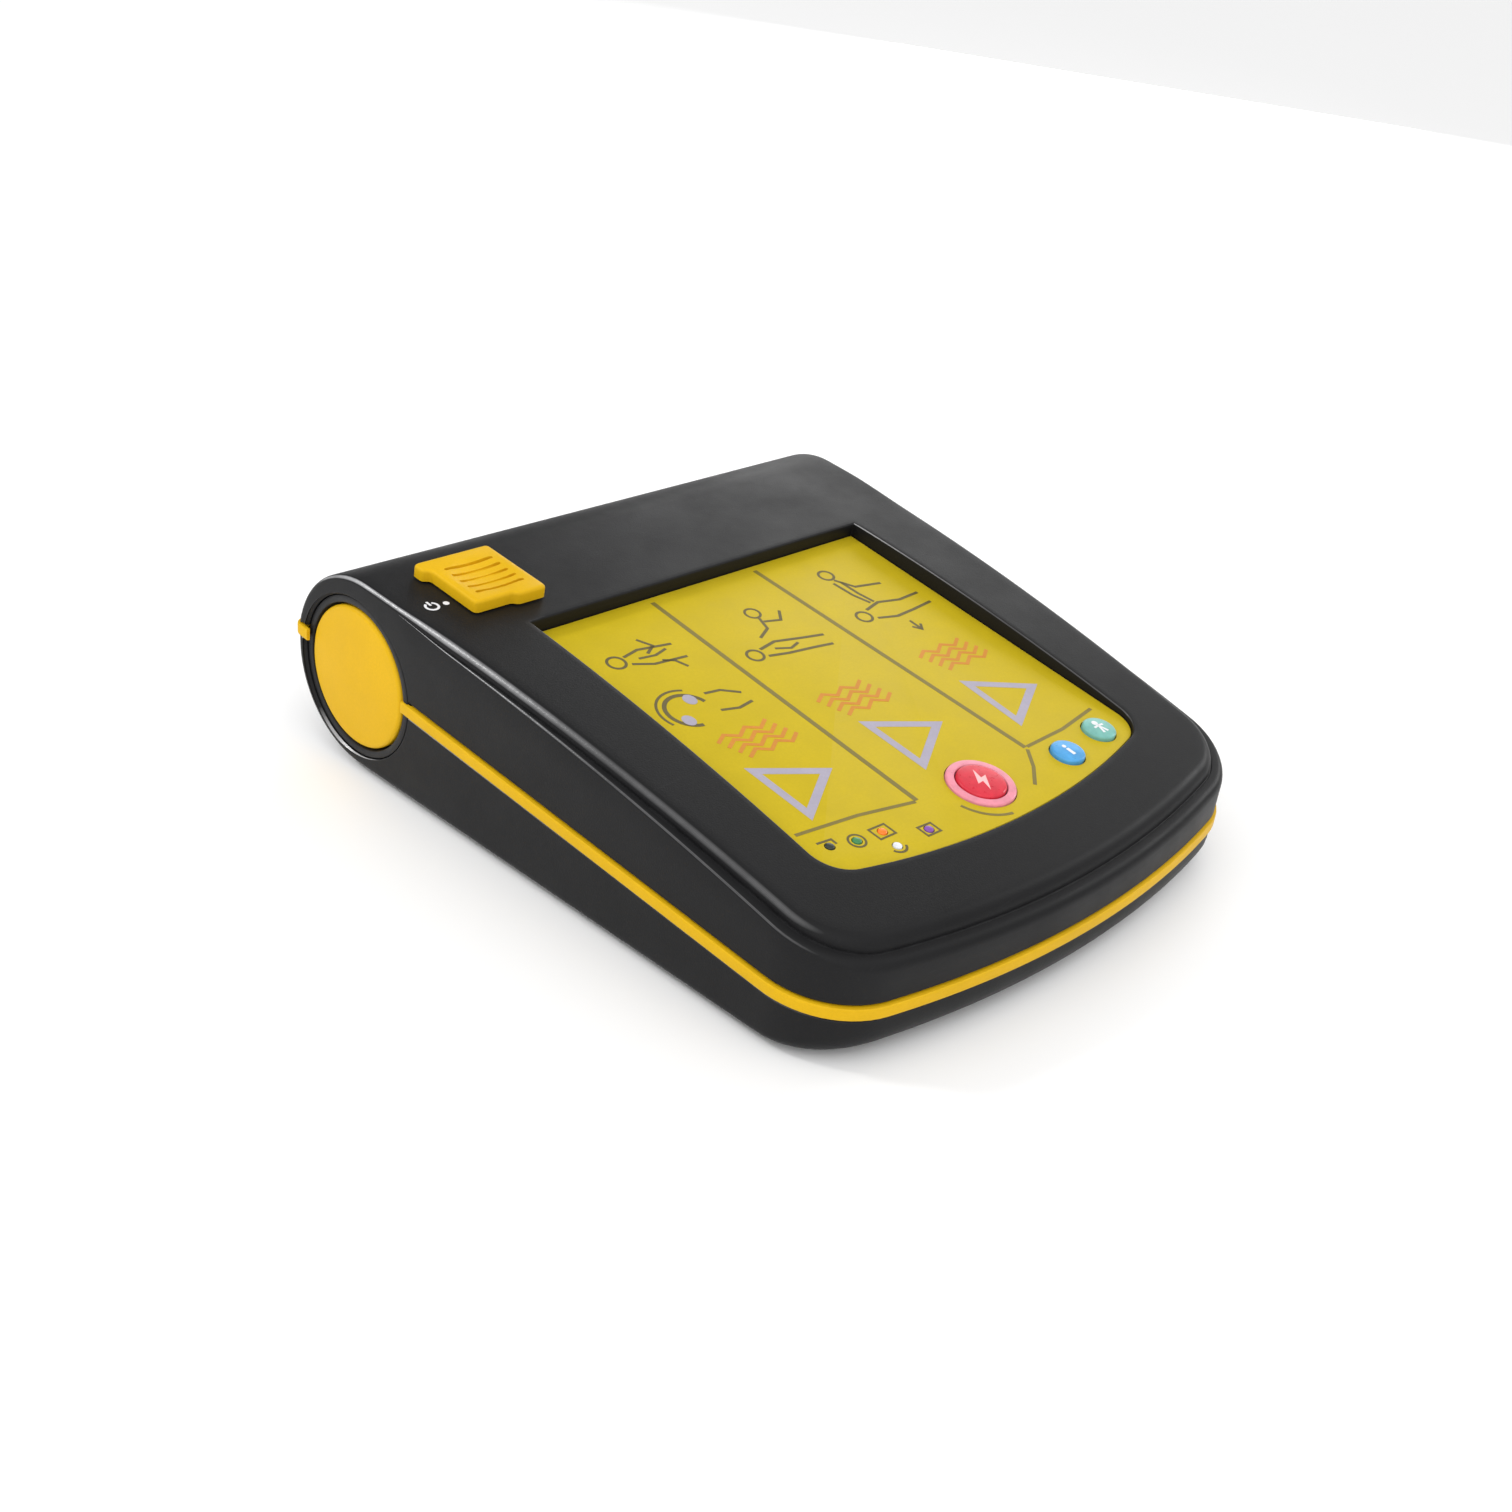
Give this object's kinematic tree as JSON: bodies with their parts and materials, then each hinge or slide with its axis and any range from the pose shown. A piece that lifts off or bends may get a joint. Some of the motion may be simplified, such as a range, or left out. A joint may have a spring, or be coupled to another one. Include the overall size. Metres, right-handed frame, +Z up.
{
  "type": "portable defibrillator",
  "caption": "Wedge-shaped portable defibrillator with a round battery barrel at the back, a yellow graphic panel, press buttons, a power slide and a pull-out battery.",
  "frame": {"origin": "on the table, under the middle of the case", "axes": "+Z up, -Y the thin front edge with the buttons, +Y the barrel, +X the operator's right"},
  "size_m": [0.2406, 0.2744, 0.0802],
  "materials": {
    "case_plastic": "fine moulded texture, charcoal",
    "band_plastic": "smooth satin, signal yellow",
    "panel_film": "printed polycarbonate film, satin",
    "button_red": "satin, translucent red",
    "ring_lens": "milky light ring",
    "button_blue": "satin blue",
    "button_teal": "satin teal",
    "lamp_lens": "clear lens",
    "inner_plastic": "black moulded",
    "foot_rubber": "soft black",
    "steel": "zinc plated",
    "contact_metal": "gold plated",
    "circuit_board": "green solder mask",
    "component_body": "black moulding compound",
    "winding": "enamelled copper winding",
    "wrap_film": "shrink film, blue"
  },
  "bodies": {
    "housing": {"upper_shell": "case_plastic", "lower_shell": "case_plastic", "parting_band_front": "band_plastic", "parting_band_rear": "band_plastic", "graphic_panel": "panel_film", "shock_light_ring": "ring_lens", "shock_key_switch": "steel", "info_key_switch": "steel", "child_key_switch": "steel", "status_lamp_1": "lamp_lens", "status_lamp_2": "lamp_lens", "status_lamp_3": "lamp_lens", "status_lamp_4": "lamp_lens", "status_lamp_5": "lamp_lens", "key_board": "circuit_board", "power_switch": "inner_plastic", "battery_sleeve": "inner_plastic", "contact_block": "inner_plastic", "contact_pin_plus": "contact_metal", "contact_pin_minus": "contact_metal", "electrode_socket": "inner_plastic", "socket_pin_front": "contact_metal", "socket_pin_rear": "contact_metal", "hv_capacitor": "wrap_film", "main_board": "circuit_board", "charge_transformer": "winding", "discharge_relay": "component_body", "heat_sink": "steel", "processor": "component_body", "filter_inductor": "winding", "speaker": "steel", "case_screw_1": "steel", "case_screw_2": "steel", "case_screw_3": "steel", "case_screw_4": "steel", "case_screw_5": "steel", "case_screw_6": "steel", "rubber_foot_1": "foot_rubber", "rubber_foot_2": "foot_rubber", "rubber_foot_3": "foot_rubber", "rubber_foot_4": "foot_rubber"},
    "battery": {"battery_cap": "band_plastic", "battery_case": "inner_plastic", "battery_seal": "foot_rubber", "battery_cell_1": "wrap_film", "battery_cell_2": "wrap_film", "battery_cell_3": "wrap_film", "battery_cell_4": "wrap_film", "battery_cell_5": "wrap_film", "battery_cell_6": "wrap_film", "battery_cell_7": "wrap_film", "battery_cell_8": "wrap_film", "battery_cell_9": "wrap_film", "battery_cell_10": "wrap_film", "battery_cell_11": "wrap_film", "battery_cell_12": "wrap_film"},
    "power_slide": {"power_slide": "band_plastic"},
    "shock_button": {"shock_button": "button_red"},
    "info_button": {"info_button": "button_blue"},
    "child_button": {"child_button": "button_teal"}
  },
  "joints": [
    {"name": "battery_slide", "type": "slide", "parent": "housing", "child": "battery", "axis": [-1, 0, 0], "range_m": [0, 0.13]},
    {"name": "power_slide_travel", "type": "slide", "parent": "housing", "child": "power_slide", "axis": [0, -0.9973, -0.0738], "range_m": [0, 0.006]},
    {"name": "shock_press", "type": "slide", "parent": "housing", "child": "shock_button", "axis": [0, 0.1323, -0.9912], "range_m": [0, 0.0012], "stiffness_N_per_m": 1800, "springref_m": -0.0008},
    {"name": "info_press", "type": "slide", "parent": "housing", "child": "info_button", "axis": [0, 0.1323, -0.9912], "range_m": [0, 0.0012], "stiffness_N_per_m": 1800, "springref_m": -0.0008},
    {"name": "child_press", "type": "slide", "parent": "housing", "child": "child_button", "axis": [0, 0.1323, -0.9912], "range_m": [0, 0.0012], "stiffness_N_per_m": 1800, "springref_m": -0.0008}
  ]
}
